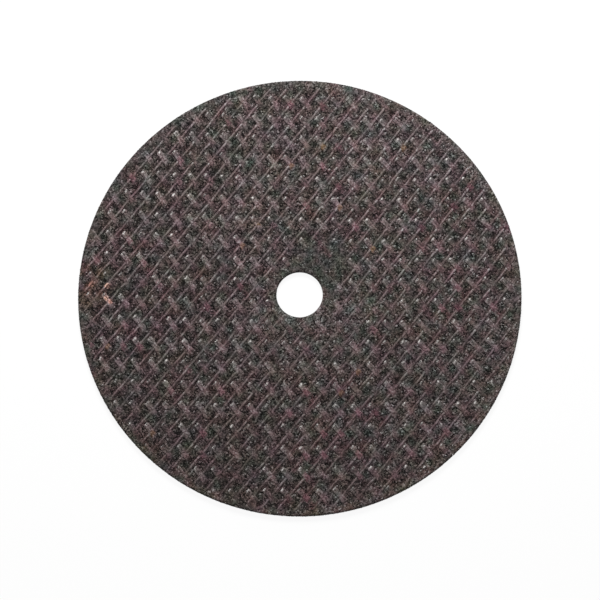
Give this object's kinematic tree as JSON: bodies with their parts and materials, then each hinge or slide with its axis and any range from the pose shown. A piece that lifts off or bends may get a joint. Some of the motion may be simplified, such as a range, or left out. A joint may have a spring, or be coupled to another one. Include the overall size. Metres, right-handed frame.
{
  "type": "cut-off wheel",
  "caption": "Thin flat round cut-off wheel of bonded abrasive grit with a woven glass mesh in both faces and a plain round arbor hole.",
  "frame": {"origin": "centre of the bore, at the middle of the wheel's thickness", "axes": "+Z along the wheel's axis, out of the front face; +Y towards the top of the picture"},
  "size_m": [0.1524, 0.1524, 0.0016],
  "materials": {
    "bonded_grit": "rough"
  },
  "bodies": {
    "root": {"abrasive_wheel": "bonded_grit"}
  },
  "joints": []
}
